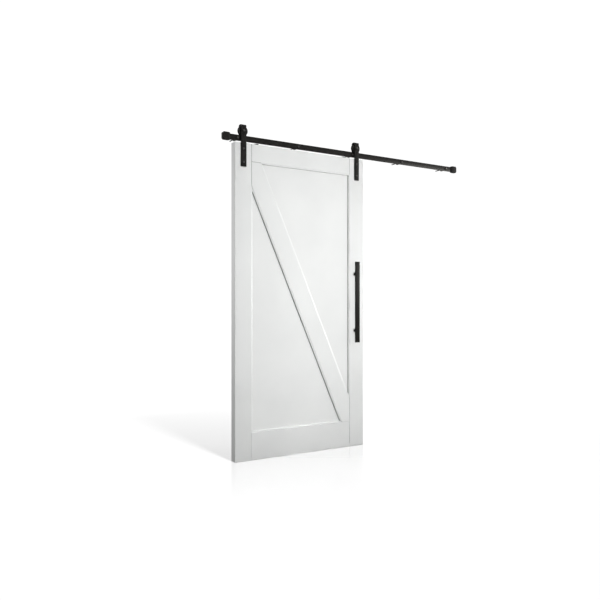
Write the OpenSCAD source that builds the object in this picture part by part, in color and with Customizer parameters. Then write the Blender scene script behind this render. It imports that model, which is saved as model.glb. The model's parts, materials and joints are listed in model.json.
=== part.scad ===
// Sliding barn door: a framed white door with one diagonal brace and a flat bar pull,
// hung on two folded straps whose grooved wheels roll along a flat steel track.
// X runs along the track, +Y goes into the wall, +Z is up.
// The origin is where the middle track bolt enters the wall.

/* [Door leaf] */
// Width of the door
door_w = 1067; // [800:1:1300]
// Height of the door
door_h = 2134; // [1700:1:2600]
// Thickness of the stiles and rails
door_t = 57; // [44:1:70]
// Face width of each stile
stile_face = 124; // [100:1:160]
// Face height of the top rail
top_rail_face = 120; // [100:1:180]
// Face height of the bottom rail
bottom_rail_face = 186; // [150:1:240]
// Width of the V groove where two members meet
v_w = 3; // [2:0.5:5]
// Depth of the V groove
v_depth = 2; // [1:0.5:3]
// Width of the splayed moulding along each inner edge
splay_w = 8; // [4:1:12]
// How far that moulding falls back over its width
splay_drop = 3; // [1:0.5:5]

/* [Panel and brace] */
// Thickness of the panel
panel_t = 25; // [12:1:30]
// How far the panel lies behind the front face
panel_recess = 15; // [10:1:18]
// How deep the panel sits in the grooves of the frame
housing_depth = 12; // [8:1:16]
// Gap round the edge of the panel, for the wood to move
panel_edge_gap = 1; // [0.5:0.5:3]
// Clearance on each face of the panel in its groove
panel_fit = 0.1; // [0.05:0.05:0.3]
// Face width of the diagonal brace
brace_w = 131; // [90:1:160]

/* [Dowels] */
// Diameter of the dowels between rails and stiles
dowel_d = 12; // [8:1:16]
// Length of a dowel
dowel_len = 80; // [60:1:100]
// First dowel, from the outer edge of its rail
dowel_inset = 35; // [25:1:45]
// Distance between two dowels
dowel_pitch = 48; // [35:1:52]
// Radial clearance round a dowel
dowel_fit = 0.05; // [0.02:0.01:0.1]
// Wood left between the dowels and the disc screws in front of them
dowel_cover = 2.8; // [1:0.1:4]

/* [Track] */
// Length of the track bar
track_len = 2134; // [1750:1:2600]
// Height of the track bar
track_h = 40; // [32:1:50]
// Thickness of the track bar
track_t = 6; // [5:0.5:8]
// Bevel on the long edges of the track bar
track_ease = 0.8; // [0.4:0.1:1.5]
// Number of bolts through the track
bolt_count = 5; // [3:1:7]
// Distance from the end of the track to its first bolt
end_bolt_inset = 113; // [90:1:150]
// Air between the door and the clamp screws above it
door_gap = 3; // [2:0.5:8]
// Air between the back of the door and the wall
wall_gap = 10; // [6:1:20]

/* [Track bolts] */
// Diameter of a lag bolt's plain shank
lag_d = 8; // [6:1:10]
// How much thinner the bolt is where it bites into the wall
lag_thread_less = 0.4; // [0.2:0.1:1]
// Length of bolt inside the wall
lag_grip = 60; // [40:1:90]
// Air between the standoffs and the flange of a wheel that rolls over them
standoff_clear = 1.3; // [0.8:0.1:4]
// Radial clearance of every bolt in its hole
bolt_fit = 0.2; // [0.1:0.05:0.4]
// Outer diameter of a washer
washer_d = 18; // [15:1:20]
// Thickness of a washer
washer_t = 1.5; // [1:0.1:2]

/* [End stops] */
// Length of an end stop along the track
stop_len = 46; // [36:1:60]
// Height of the stop above the track
stop_above = 7; // [5:0.5:10]
// Height of the stop below the track
stop_below = 5; // [3:0.5:8]
// Wall of the stop in front of and behind the track
stop_wall = 8; // [5:0.5:8.5]
// Bevel on the outer corners of the stop
stop_bevel = 9; // [4:1:14]
// Clearance of the stop round the track
stop_fit = 0.2; // [0.1:0.05:0.4]
// Thickness of the rubber bumper
bumper_t = 9; // [6:1:14]
// How far the bumper lies inside the outline of the stop
bumper_inset = 1.5; // [0.5:0.5:3]
// Diameter of the clamp screws in the stop
stop_screw_d = 5; // [4:0.5:6]
// Clamp screw, from the inner face of the stop
stop_screw_inset = 9; // [7:1:14]

/* [Hangers] */
// Width of a strap
strap_w = 40; // [32:1:50]
// Thickness of a strap
strap_t = 6; // [5:0.5:8]
// Clear width between the two legs of a strap
strap_gap = 26; // [24:1:34]
// Inside radius of the folds at the top of a strap
strap_fold_r = 6; // [4:0.5:7]
// How far the front leg reaches down over the door
strap_drop = 159; // [140:1:240]
// How far the rear leg reaches below the axle
rear_leg_drop = 24; // [16:1:26]
// First strap bolt, below the top of the door
strap_bolt_a = 40; // [30:1:60]
// Second strap bolt, below the top of the door
strap_bolt_b = 127; // [90:1:135]
// Diameter of the strap bolts
strap_bolt_d = 8; // [6:1:10]
// Diameter of the flange on a strap nut
nut_flange_d = 18; // [14:1:24]
// Thickness of that flange
nut_flange_t = 2.5; // [1.5:0.5:4]
// Length of the nut's barrel inside the door
nut_barrel_len = 14; // [10:1:20]

/* [Wheels] */
// Diameter of a wheel over its flanges
wheel_d = 70; // [66:1:80]
// Diameter at the bottom of the wheel's groove
groove_d = 58; // [50:1:60]
// Thickness of a wheel
wheel_t = 18; // [14:1:20]
// Width of the groove beyond the thickness of the track
groove_play = 2; // [1:0.5:3]
// Running gap between the groove and the track
rolling_gap = 0.3; // [0.3:0.1:0.6]
// Air between the top of the wheel and the strap above it
wheel_top_gap = 1.5; // [1:0.5:4]
// Diameter of the axle bolt
axle_d = 10; // [8:1:10]
// Outer diameter of the ball bearing
bearing_d = 26; // [25:1:30]
// Width of the ball bearing
bearing_t = 8; // [7:0.5:10]
// Number of balls in the bearing
ball_count = 9; // [7:1:11]
// Diameter of a ball
ball_d = 3.5; // [3:0.1:3.8]
// Running clearance round a ball, and of the axle in its ring
bearing_fit = 0.05; // [0.02:0.01:0.08]
// Free run between the left wheel and its bumper at rest
parked_run = 70.3; // [20:0.1:200]

/* [Anti-jump discs] */
// Diameter of a disc
disc_d = 30; // [24:1:40]
// Thickness of a disc
disc_t = 6; // [4:0.5:7]
// Centre of a disc, beyond the face of the stile
disc_run = 46; // [20:1:170]
// How far a disc stays behind the front face of the door
disc_setback = 2; // [1:0.5:6]
// Diameter of the disc's wood screw
disc_screw_d = 5; // [4:0.5:6]
// Length of that screw inside the top rail
disc_screw_len = 40; // [25:1:60]

/* [Pull] */
// Length of the pull bar
pull_len = 598; // [400:1:800]
// Width of the pull bar
pull_w = 40; // [25:1:45]
// Thickness of the pull bar
pull_t = 8; // [6:0.5:10]
// Finger room between the bar and the door
pull_room = 27; // [24:1:40]
// Centre of the pull, from the right edge of the door
pull_inset = 76; // [55:1:90]
// Centre of the pull, below the top of the door
pull_centre = 1067; // [900:1:1200]
// Centre of a post, from the end of the bar
post_inset = 89; // [30:1:150]
// Diameter of a post
post_d = 20; // [14:1:24]
// Diameter of the screw into a post
pull_screw_d = 8; // [6:1:8]
// How far that screw goes into the post
pull_screw_grip = 15; // [10:1:20]

/* [Hidden] */
$fn = 64;

// A cut passes this far beyond the face that it leaves
over = 1;

// Heads of the clamp screws in the stops
stop_head_d = stop_screw_d * 1.8;
stop_head_t = stop_screw_d * 0.6;

// Depths, from the wall at 0 to the front of the door
front_y = -(wall_gap + door_t);
wheel_y = front_y + strap_gap / 2;
track_front_y = wheel_y - track_t / 2;
track_back_y = wheel_y + track_t / 2;
rear_leg_y = front_y + strap_gap;

// Heights, from the middle of the track
track_top_z = track_h / 2;
door_top_z = -track_top_z - stop_below - stop_head_t - door_gap;
axle_z = track_top_z + rolling_gap + groove_d / 2;
flange_low_z = axle_z - wheel_d / 2;
strap_inner_top_z = axle_z + wheel_d / 2 + wheel_top_gap;

// The wheel meets the top corner of the bumper at this distance from its own centre
bumper_top_z = track_top_z + stop_above - bumper_inset;
contact_dx = sqrt(pow(wheel_d / 2, 2) - pow(axle_z - bumper_top_z, 2));

// Places along the track
bumper_face_x = track_len / 2 - stop_len - bumper_t;
left_hanger_x = -bumper_face_x + contact_dx + parked_run;
door_left_x = left_hanger_x - stile_face / 2;
right_hanger_x = door_left_x + door_w - stile_face / 2;
hanger_xs = [left_hanger_x, right_hanger_x];
bolt_pitch = (track_len - 2 * end_bolt_inset) / (bolt_count - 1);
bolt_xs = [for (i = [0 : bolt_count - 1]) (i - (bolt_count - 1) / 2) * bolt_pitch];

// Hexagon heads, across flats, and their heights for a bolt of diameter d
function across_flats(d) = d * 1.7 - 0.6;
function head_height(d) = d * 0.66;

// Opening of the frame, between the face lines of its members
opening_w = door_w - 2 * stile_face;
opening_h = door_h - top_rail_face - bottom_rail_face;
brace_lean = atan(opening_w / opening_h);
brace_blank_len = norm([opening_w, opening_h]) + 2 * brace_w;

// Rows of dowels: [height below the top of the door] for each
top_dowel_vs = [for (i = [0 : 1]) dowel_inset + i * dowel_pitch];
bottom_dowel_vs = [for (i = [0 : 2]) door_h - dowel_inset - i * dowel_pitch];
dowel_vs = concat(top_dowel_vs, bottom_dowel_vs);

// Heads, nuts and clearances of the fixings
lag_thread_d = lag_d - lag_thread_less;
standoff_d = 2 * (flange_low_z - standoff_clear);
nut_t = axle_d * 0.8;
hole_end_gap = 1;
pull_head_d = pull_screw_d * 1.5 + 1;
pull_head_t = pull_screw_d - 1;
pull_key_flats = pull_screw_d * 0.75;
pull_key_depth = pull_screw_d / 2;
pull_counterbore = pull_head_t + 2;
pull_bore_len = pull_screw_grip + 2;

// Rings of the bearing
ball_circle_r = (axle_d / 2 + bearing_d / 2) / 2;
race_half_gap = 1;
disc_v = disc_setback + disc_d / 2;
disc_y = front_y + disc_v;
disc_inset = stile_face + disc_run;
disc_xs = [door_left_x + disc_inset, door_left_x + door_w - disc_inset];
dowel_v = disc_v + disc_screw_d / 2 + bolt_fit + dowel_cover + dowel_d / 2;
pull_x = door_left_x + door_w - pull_inset;
pull_z = door_top_z - pull_centre;
post_pitch = pull_len - 2 * post_inset;
post_zs = [pull_z - post_pitch / 2, pull_z + post_pitch / 2];

paint = "white";
steel = [0.15, 0.15, 0.15];
zinc = [0.6, 0.6, 0.62];

// ---- placing ----

// Puts children on the door: x from its left edge, y from its front face, z from its top
module on_door() { translate([door_left_x, front_y, door_top_z]) children(); }

// A round bar or hole along +Y from y0 to y1
module along_y(d, y0, y1) { translate([0, y0, 0]) rotate([-90, 0, 0]) cylinder(d = d, h = y1 - y0); }

// A hexagon along +Y from y0 to y1
module hex_y(flats, y0, y1) {
    translate([0, y0, 0]) rotate([-90, 0, 0]) cylinder(d = flats / cos(30), h = y1 - y0, $fn = 6);
}

// ---- door leaf ----

// Inner edge of a frame member of face width w: V flank, splayed moulding, then square to the back
function inner_edge(w, back) = [
    [w - v_w / 2, 0], [w, v_depth], [w + splay_w, v_depth + splay_drop], [w + splay_w, back]
];

// A member seen on its end, w wide on its face
module member_section(w) { polygon(concat([[0, 0]], inner_edge(w, door_t), [[0, door_t]])); }

// Left stile without its holes, on the door
module left_stile_blank() { translate([0, 0, -door_h]) linear_extrude(door_h) member_section(stile_face); }

module both_stile_blanks() {
    left_stile_blank();
    translate([door_w, 0, 0]) mirror([1, 0, 0]) left_stile_blank();
}

// A rail without its holes, its outer edge at z = 0 and its moulding below
module rail_blank(face) {
    translate([stile_face, 0, 0]) rotate([0, 90, 0]) linear_extrude(opening_w) member_section(face);
}

module both_rail_blanks() {
    rail_blank(top_rail_face);
    translate([0, 0, -door_h]) mirror([0, 0, 1]) rail_blank(bottom_rail_face);
}

// V groove to cut along the line u = 0 in the front face
module v_section() {
    wide = v_w * (v_depth + over) / v_depth;
    polygon([[-wide / 2, -over], [wide / 2, -over], [0, v_depth]]);
}

module upright_v_grooves() {
    for (x = [stile_face, door_w - stile_face])
        translate([x, 0, -door_h - over]) linear_extrude(door_h + 2 * over) v_section();
}

module level_v_grooves() {
    for (z = [-top_rail_face, bottom_rail_face - door_h])
        translate([stile_face, 0, z]) rotate([0, 90, 0]) linear_extrude(opening_w) v_section();
}

// The space that the panel takes up, grown by an edge gap and by a clearance on each face
module panel_space(edge, face) {
    in = splay_w - housing_depth - edge;
    translate([stile_face + in, panel_recess - face, bottom_rail_face + in - door_h])
        cube([opening_w - 2 * in, panel_t + 2 * face, opening_h - 2 * in]);
}

// Holes for the dowels, which cross the joint between a stile and a rail
module dowel_rods(extra_d, extra_len) {
    rod = dowel_len + 2 * extra_len;
    for (x = [stile_face + splay_w, door_w - stile_face - splay_w], v = dowel_vs)
        translate([x - rod / 2, dowel_v, -v]) rotate([0, 90, 0])
            cylinder(d = dowel_d + extra_d, h = rod);
}

module dowel_holes() { dowel_rods(2 * dowel_fit, hole_end_gap); }

// Through hole for a strap bolt with the room for its nut at the back
module strap_bolt_holes() {
    for (v = [strap_bolt_a, strap_bolt_b])
        translate([stile_face / 2, 0, -v]) {
            along_y(strap_bolt_d + 2 * bolt_fit, -over, door_t + over);
            along_y(
                strap_bolt_d + 2 + 2 * bolt_fit, door_t - nut_barrel_len - hole_end_gap, door_t + over
            );
        }
}

module pull_screw_holes() {
    for (z = [-post_pitch / 2, post_pitch / 2])
        translate([door_w - pull_inset, 0, z - pull_centre]) {
            along_y(pull_screw_d + 2 * bolt_fit, -over, door_t + over);
            along_y(pull_head_d + 1, door_t - pull_counterbore, door_t + over);
        }
}

module left_stile() {
    color(paint) on_door() difference() {
        left_stile_blank();
        panel_space(panel_edge_gap, panel_fit);
        dowel_holes();
        strap_bolt_holes();
    }
}

module right_stile() {
    color(paint) on_door() difference() {
        translate([door_w, 0, 0]) mirror([1, 0, 0]) left_stile_blank();
        panel_space(panel_edge_gap, panel_fit);
        dowel_holes();
        translate([door_w, 0, 0]) mirror([1, 0, 0]) strap_bolt_holes();
        pull_screw_holes();
    }
}

module top_rail() {
    color(paint) difference() {
        on_door() difference() {
            rail_blank(top_rail_face);
            both_stile_blanks();
            upright_v_grooves();
            panel_space(panel_edge_gap, panel_fit);
            dowel_holes();
        }
        for (x = disc_xs)
            translate([x, disc_y, door_top_z - disc_screw_len - hole_end_gap])
                cylinder(d = disc_screw_d + 2 * bolt_fit, h = disc_screw_len + hole_end_gap + over);
    }
}

module bottom_rail() {
    color(paint) on_door() difference() {
        translate([0, 0, -door_h]) mirror([0, 0, 1]) rail_blank(bottom_rail_face);
        both_stile_blanks();
        upright_v_grooves();
        panel_space(panel_edge_gap, panel_fit);
        dowel_holes();
    }
}

module panel() { color(paint) on_door() panel_space(0, 0); }

// The brace has the frame's moulding along both long edges, and its ends are scribed over the frame
module brace() {
    half = inner_edge(brace_w / 2, panel_recess);
    other_half = [for (i = [len(half) - 1 : -1 : 0]) [-half[i][0], half[i][1]]];
    color(paint) on_door() difference() {
        intersection() {
            translate([door_w / 2, 0, (bottom_rail_face - top_rail_face - door_h) / 2])
                rotate([0, -brace_lean, 0]) translate([0, 0, -brace_blank_len / 2])
                    linear_extrude(brace_blank_len) polygon(concat(half, other_half));
            translate([stile_face, 0, bottom_rail_face - door_h])
                cube([opening_w, panel_recess, opening_h]);
        }
        both_stile_blanks();
        both_rail_blanks();
        upright_v_grooves();
        level_v_grooves();
    }
}

module rail_dowels() { color("burlywood") on_door() dowel_rods(0, 0); }

// ---- track ----

module track_bar() {
    e = track_ease;
    h = track_h / 2;
    t = track_t / 2;
    outline = [
        [-t + e, -h], [t - e, -h], [t, -h + e], [t, h - e],
        [t - e, h], [-t + e, h], [-t, h - e], [-t, -h + e]
    ];
    color(steel) difference() {
        translate([-track_len / 2, wheel_y, 0]) rotate([90, 0, 90])
            linear_extrude(track_len) polygon(outline);
        for (x = bolt_xs) translate([x, 0, 0])
            along_y(lag_d + 2 * bolt_fit, track_front_y - over, track_back_y + over);
    }
}

module standoffs() {
    color(steel) for (x = bolt_xs)
        translate([x, 0, 0]) difference() {
            along_y(standoff_d, track_back_y, 0);
            along_y(lag_d + 2 * bolt_fit, track_back_y - over, over);
        }
}

module lag_washers() {
    color(steel) for (x = bolt_xs)
        translate([x, 0, 0]) difference() {
            along_y(washer_d, track_front_y - washer_t, track_front_y);
            along_y(lag_d + 2 * bolt_fit, track_front_y - washer_t - over, track_front_y + over);
        }
}

// Hexagon head, plain shank as far as the wall, then the threaded length with its point
module lag_bolts() {
    seat_y = track_front_y - washer_t;
    point = lag_thread_d;
    color(steel) for (x = bolt_xs)
        translate([x, 0, 0]) {
            hex_y(across_flats(lag_d), seat_y - head_height(lag_d), seat_y);
            along_y(lag_d, seat_y, 0);
            along_y(lag_thread_d, 0, lag_grip);
            translate([0, lag_grip, 0]) rotate([-90, 0, 0]) cylinder(d1 = lag_thread_d, d2 = 1, h = point);
        }
}

// Outline of a stop seen from the front, with its outer end at x = 0 and the bevelled corners there
module stop_outline() {
    top = track_top_z + stop_above;
    low = -track_top_z - stop_below;
    polygon([
        [0, low + stop_bevel], [stop_bevel, low], [stop_len, low],
        [stop_len, top], [stop_bevel, top], [0, top - stop_bevel]
    ]);
}

// The slot that the track passes through, from x0 for a length of l
module track_slot(x0, l) {
    translate([x0, wheel_y - track_t / 2 - stop_fit, -track_top_z - stop_fit])
        cube([l, track_t + 2 * stop_fit, track_h + 2 * stop_fit]);
}

module stop_at_left() {
    screw_x = stop_len - stop_screw_inset;
    translate([-track_len / 2, 0, 0]) difference() {
        translate([0, track_back_y + stop_wall, 0]) rotate([90, 0, 0])
            linear_extrude(track_t + 2 * stop_wall) stop_outline();
        track_slot(-over, stop_len + 2 * over);
        translate([screw_x, wheel_y, -track_h]) cylinder(d = stop_screw_d + 2 * bolt_fit, h = 2 * track_h);
    }
}

module bumper_at_left() {
    top = bumper_top_z;
    low = -track_top_z - stop_below + bumper_inset;
    deep = track_t + 2 * (stop_wall - bumper_inset);
    translate([-track_len / 2, 0, 0]) difference() {
        translate([stop_len, wheel_y - deep / 2, low]) cube([bumper_t, deep, top - low]);
        track_slot(stop_len - over, bumper_t + 2 * over);
    }
}

module left_stop() { color(steel) stop_at_left(); }
module right_stop() { color(steel) mirror([1, 0, 0]) stop_at_left(); }
module left_bumper() { color("dimgray") bumper_at_left(); }
module right_bumper() { color("dimgray") mirror([1, 0, 0]) bumper_at_left(); }

// Clamp screws bear on the upper and lower edge of the track
module stop_screws() {
    screw_x = track_len / 2 - stop_len + stop_screw_inset;
    color(steel) for (x = [-screw_x, screw_x]) translate([x, wheel_y, 0]) {
        translate([0, 0, track_top_z]) cylinder(d = stop_screw_d, h = stop_above);
        translate([0, 0, track_top_z + stop_above]) cylinder(d = stop_head_d, h = stop_head_t);
        translate([0, 0, -track_top_z - stop_below]) cylinder(d = stop_screw_d, h = stop_below);
        translate([0, 0, -track_top_z - stop_below - stop_head_t])
            cylinder(d = stop_head_d, h = stop_head_t);
    }
}

// ---- hangers ----

// A quarter fold of the strap about the X axis through the origin, from +Z round to -Y
module strap_fold() {
    rotate([0, -90, 0]) translate([0, 0, -strap_w / 2]) rotate_extrude(angle = -90)
        translate([strap_fold_r, 0]) square([strap_t, strap_w]);
}

// Flat bar folded twice over the wheel: long leg in front, short leg behind
module strap() {
    fold_z = strap_inner_top_z - strap_fold_r;
    bottom_z = door_top_z - strap_drop;
    rear_z = axle_z - rear_leg_drop;
    outer_r = strap_fold_r + strap_t;
    color(steel) difference() {
        union() {
            translate([-strap_w / 2, front_y - strap_t, bottom_z])
                cube([strap_w, strap_t, fold_z - bottom_z]);
            translate([-strap_w / 2, rear_leg_y, rear_z]) cube([strap_w, strap_t, fold_z - rear_z]);
            translate([-strap_w / 2, front_y + strap_fold_r, fold_z + strap_fold_r])
                cube([strap_w, strap_gap - 2 * strap_fold_r, strap_t]);
            translate([0, front_y + strap_fold_r, fold_z]) strap_fold();
            translate([0, rear_leg_y - strap_fold_r, fold_z]) mirror([0, 1, 0]) strap_fold();
        }
        translate([0, 0, axle_z])
            along_y(axle_d + 2 * bolt_fit, front_y - outer_r, rear_leg_y + outer_r);
        for (v = [strap_bolt_a, strap_bolt_b]) translate([0, 0, door_top_z - v])
            along_y(strap_bolt_d + 2 * bolt_fit, front_y - strap_t - over, front_y + over);
    }
}

module left_strap() { translate([left_hanger_x, 0, 0]) strap(); }
module right_strap() { translate([right_hanger_x, 0, 0]) strap(); }

module at_strap_bolts() {
    for (x = hanger_xs, v = [strap_bolt_a, strap_bolt_b]) translate([x, 0, door_top_z - v]) children();
}

module strap_bolts() {
    head_y = front_y - strap_t;
    color(steel) at_strap_bolts() {
        hex_y(across_flats(strap_bolt_d), head_y - head_height(strap_bolt_d), head_y);
        along_y(strap_bolt_d, head_y, -wall_gap - 1);
    }
}

// Flanged barrel nut let into the back of the door
module strap_nuts() {
    color(steel) at_strap_bolts() difference() {
        union() {
            along_y(strap_bolt_d + 2, -wall_gap - nut_barrel_len, -wall_gap);
            along_y(nut_flange_d, -wall_gap, -wall_gap + nut_flange_t);
        }
        along_y(strap_bolt_d + 2 * bearing_fit, -wall_gap - nut_barrel_len - over, -wall_gap + over / 2);
    }
}

// ---- wheels ----

// Half section of a wheel: radius first, then distance from its middle plane
module wheel_section() {
    rim = wheel_d / 2;
    groove = groove_d / 2;
    half = wheel_t / 2;
    lip = (track_t + groove_play) / 2;
    hub = bearing_d / 2;
    hub_half = bearing_t / 2 + 2;
    web_half = bearing_t / 2;
    bevel = 1;
    side = [
        [hub + bearing_fit / 2, hub_half], [hub + 4, hub_half], [hub + 5.5, web_half],
        [groove - 5.5, web_half], [groove - 4, half], [rim - bevel, half], [rim, half - bevel],
        [rim, lip + bevel], [rim - bevel, lip + bevel / 2], [groove, lip]
    ];
    far_side = [for (i = [len(side) - 1 : -1 : 0]) [side[i][0], -side[i][1]]];
    polygon(concat(side, far_side));
}

// Turns a section about the axle of a hanger, whose middle plane is the wheel's
module spun_at(x) { translate([x, wheel_y, axle_z]) rotate([90, 0, 0]) rotate_extrude() children(); }

module wheel_at(x) { color(steel) spun_at(x) wheel_section(); }

// Track of the balls between the two rings
module ball_race() { translate([ball_circle_r, 0]) circle(r = ball_d / 2 + bearing_fit); }

module outer_ring_at(x) {
    inner = ball_circle_r + race_half_gap;
    color(zinc) spun_at(x) difference() {
        translate([inner, -bearing_t / 2]) square([bearing_d / 2 - inner, bearing_t]);
        ball_race();
    }
}

module balls_at(x) {
    color(zinc) translate([x, wheel_y, axle_z]) for (i = [0 : ball_count - 1])
        rotate([0, i * 360 / ball_count, 0]) translate([ball_circle_r, 0, 0]) sphere(d = ball_d);
}

module bearing_inner_rings() {
    inner = axle_d / 2 + bearing_fit;
    color(zinc) for (x = hanger_xs) spun_at(x) difference() {
        translate([inner, -bearing_t / 2]) square([ball_circle_r - race_half_gap - inner, bearing_t]);
        ball_race();
    }
}

module left_wheel() { wheel_at(left_hanger_x); }
module right_wheel() { wheel_at(right_hanger_x); }
module left_bearing_ring() { outer_ring_at(left_hanger_x); }
module right_bearing_ring() { outer_ring_at(right_hanger_x); }
module left_bearing_balls() { balls_at(left_hanger_x); }
module right_bearing_balls() { balls_at(right_hanger_x); }

// Tubes that keep the bearing in the middle between the two legs
module axle_sleeves() {
    inner = axle_d / 2 + bearing_fit;
    wall = ball_circle_r - race_half_gap - inner - 0.5;
    len = (strap_gap - bearing_t) / 2;
    color(zinc) for (x = hanger_xs) spun_at(x) for (y = [-strap_gap / 2, bearing_t / 2])
        translate([inner, y]) square([wall, len]);
}

module axle_bolts() {
    head_y = front_y - strap_t;
    color(steel) for (x = hanger_xs) translate([x, 0, axle_z]) {
        hex_y(across_flats(axle_d), head_y - head_height(axle_d), head_y);
        along_y(axle_d, head_y, rear_leg_y + strap_t + nut_t + 2);
    }
}

module axle_nuts() {
    seat_y = rear_leg_y + strap_t;
    color(steel) for (x = hanger_xs) translate([x, 0, axle_z]) difference() {
        hex_y(across_flats(axle_d), seat_y, seat_y + nut_t);
        along_y(axle_d + 2 * bearing_fit, seat_y - over, seat_y + nut_t + over);
    }
}

// ---- anti-jump discs ----

// The head of the disc's screw is countersunk by this much
function sink_h() = disc_screw_d / 2;

module anti_jump_discs() {
    color(steel) for (x = disc_xs) translate([x, disc_y, door_top_z]) difference() {
        cylinder(d = disc_d, h = disc_t);
        translate([0, 0, -over]) cylinder(d = disc_screw_d + 2 * bolt_fit, h = disc_t + 2 * over);
        translate([0, 0, disc_t - sink_h()])
            cylinder(d1 = disc_screw_d + 2 * bolt_fit, d2 = 2 * disc_screw_d + 2 * bolt_fit, h = sink_h());
    }
}

module anti_jump_screws() {
    color(steel) for (x = disc_xs) translate([x, disc_y, door_top_z]) {
        translate([0, 0, -disc_screw_len])
            cylinder(d = disc_screw_d, h = disc_screw_len + disc_t - sink_h());
        translate([0, 0, disc_t - sink_h()])
            cylinder(d1 = disc_screw_d, d2 = 2 * disc_screw_d, h = sink_h());
    }
}

// ---- pull ----

module pull_bar() {
    color(steel) translate([pull_x - pull_w / 2, front_y - pull_room - pull_t, pull_z - pull_len / 2])
        cube([pull_w, pull_t, pull_len]);
}

module pull_posts() {
    color(steel) for (z = post_zs) translate([pull_x, 0, z]) difference() {
        along_y(post_d, front_y - pull_room, front_y);
        along_y(pull_screw_d + 2 * bearing_fit, front_y - pull_bore_len, front_y + over);
    }
}

// Cap screws from the back of the door into the posts
module pull_screws() {
    seat_y = -wall_gap - pull_counterbore;
    color(steel) for (z = post_zs) translate([pull_x, 0, z]) {
        along_y(pull_screw_d, front_y - pull_screw_grip, seat_y);
        difference() {
            along_y(pull_head_d, seat_y, seat_y + pull_head_t);
            hex_y(pull_key_flats, seat_y + pull_head_t - pull_key_depth, seat_y + pull_head_t + over);
        }
    }
}

left_stile();
right_stile();
top_rail();
bottom_rail();
panel();
brace();
rail_dowels();
track_bar();
standoffs();
lag_bolts();
lag_washers();
left_stop();
right_stop();
left_bumper();
right_bumper();
stop_screws();
left_strap();
right_strap();
strap_bolts();
strap_nuts();
left_wheel();
right_wheel();
left_bearing_ring();
right_bearing_ring();
left_bearing_balls();
right_bearing_balls();
bearing_inner_rings();
axle_sleeves();
axle_bolts();
axle_nuts();
anti_jump_discs();
anti_jump_screws();
pull_bar();
pull_posts();
pull_screws();
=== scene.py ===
import json
import math

import bmesh
import bpy
import numpy as np
from mathutils import Matrix, Vector

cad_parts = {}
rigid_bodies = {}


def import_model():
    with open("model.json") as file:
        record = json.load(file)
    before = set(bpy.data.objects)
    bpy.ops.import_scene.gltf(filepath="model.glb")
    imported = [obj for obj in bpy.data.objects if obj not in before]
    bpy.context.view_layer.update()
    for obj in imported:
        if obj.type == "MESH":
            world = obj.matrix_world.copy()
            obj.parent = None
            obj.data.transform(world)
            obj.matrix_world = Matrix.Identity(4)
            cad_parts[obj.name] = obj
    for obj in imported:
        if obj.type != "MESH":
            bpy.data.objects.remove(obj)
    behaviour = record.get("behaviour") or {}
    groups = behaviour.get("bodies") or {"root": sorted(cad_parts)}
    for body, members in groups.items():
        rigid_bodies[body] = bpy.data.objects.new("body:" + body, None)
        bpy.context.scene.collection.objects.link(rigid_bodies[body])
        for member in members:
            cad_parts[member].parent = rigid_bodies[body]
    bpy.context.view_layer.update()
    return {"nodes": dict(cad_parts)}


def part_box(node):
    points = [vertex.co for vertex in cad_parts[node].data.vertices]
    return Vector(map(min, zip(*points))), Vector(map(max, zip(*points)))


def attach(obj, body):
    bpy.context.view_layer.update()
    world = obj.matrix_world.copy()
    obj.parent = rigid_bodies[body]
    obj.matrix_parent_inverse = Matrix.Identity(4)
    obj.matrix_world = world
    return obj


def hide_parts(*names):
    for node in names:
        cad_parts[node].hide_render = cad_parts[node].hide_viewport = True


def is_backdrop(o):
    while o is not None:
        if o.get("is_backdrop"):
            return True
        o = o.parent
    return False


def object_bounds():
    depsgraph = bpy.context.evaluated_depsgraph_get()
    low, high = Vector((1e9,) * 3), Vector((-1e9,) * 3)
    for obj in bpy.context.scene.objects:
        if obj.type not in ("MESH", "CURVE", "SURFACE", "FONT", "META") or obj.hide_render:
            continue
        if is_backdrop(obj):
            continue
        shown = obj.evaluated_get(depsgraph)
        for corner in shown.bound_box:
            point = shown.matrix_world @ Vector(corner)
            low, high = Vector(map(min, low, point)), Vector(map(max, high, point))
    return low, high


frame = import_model()

# ---- Left stile ----
# A planed softwood upright with a splayed moulding run along its inner edge and its corners
# eased by hand. It is grooved for the panel, dowelled to the rails and sprayed satin white.

MM = 0.001
V_WIDE, V_DEEP = 3 * MM, 2 * MM
SPLAY_WIDE, SPLAY_DROP = 8 * MM, 3 * MM
ARRIS = 2 * MM

door_left, door_front, door_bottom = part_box("left_stile")[0]
door_back, door_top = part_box("left_stile")[1].yz
door_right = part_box("right_stile")[1].x
stile_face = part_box("left_stile")[1].x - door_left - SPLAY_WIDE


def rounded(r, steps=4):
    """Quarter round of radius r as two arrays: the depth below the flat is r(1 - cos a) and the step in
    from the edge is r(1 - sin a), with a going from 0 to a right angle."""
    a = np.linspace(0, math.pi / 2, steps + 1)
    return r * (1 - np.cos(a)), r * (1 - np.sin(a))


ease_depth, ease_inset = rounded(ARRIS)
thick = door_back - door_front
member_depth = np.unique(
    np.round(
        np.concatenate([ease_depth, [V_DEEP, V_DEEP + SPLAY_DROP], thick - ease_depth]), 7
    )
)


def eased(depth):
    """How far an outer edge is drawn in at a depth: a quarter round at the front and one at the back."""
    at = np.concatenate([ease_depth, thick - ease_depth[::-1]])
    return np.interp(depth, at, np.concatenate([ease_inset, ease_inset[::-1]]))


def moulded(depth):
    """How far an inner edge stands beyond the face of its member: half a V back at the front, level at the
    foot of the V, then out along the splay and square from there."""
    return np.interp(depth, [0, V_DEEP, V_DEEP + SPLAY_DROP], [-V_WIDE / 2, 0, SPLAY_WIDE])


def scribed(depth):
    """How far the end of a rail keeps off the stile's face line: half a V at the front, none at its foot,
    then back along the stile's splay, which the rail is cut over."""
    return np.interp(depth, [0, V_DEEP, V_DEEP + SPLAY_DROP], [V_WIDE / 2, 0, SPLAY_WIDE])


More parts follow.
